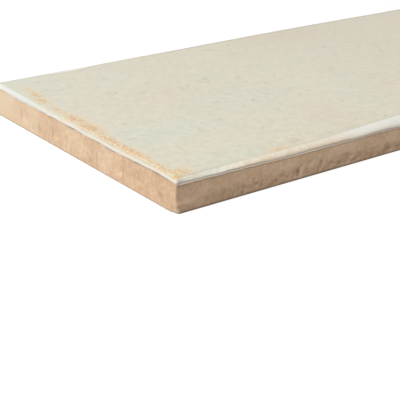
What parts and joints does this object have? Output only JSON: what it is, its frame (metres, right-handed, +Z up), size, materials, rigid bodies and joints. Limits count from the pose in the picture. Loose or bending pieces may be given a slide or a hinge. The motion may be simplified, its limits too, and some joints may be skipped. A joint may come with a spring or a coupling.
{
  "type": "ceramic wall tile",
  "caption": "Rectangular pressed ceramic wall tile, aged cream glaze rolled over the rim, bare tan biscuit sides and a keyed back.",
  "frame": {"origin": "centre of the back, on the plane that the tile lies on", "axes": "+X along the length, +Y across the width, +Z up out of the glazed face"},
  "size_m": [0.15, 0.075, 0.0075],
  "materials": {
    "glazed_biscuit": "satin"
  },
  "bodies": {
    "root": {"tile": "glazed_biscuit"}
  },
  "joints": []
}
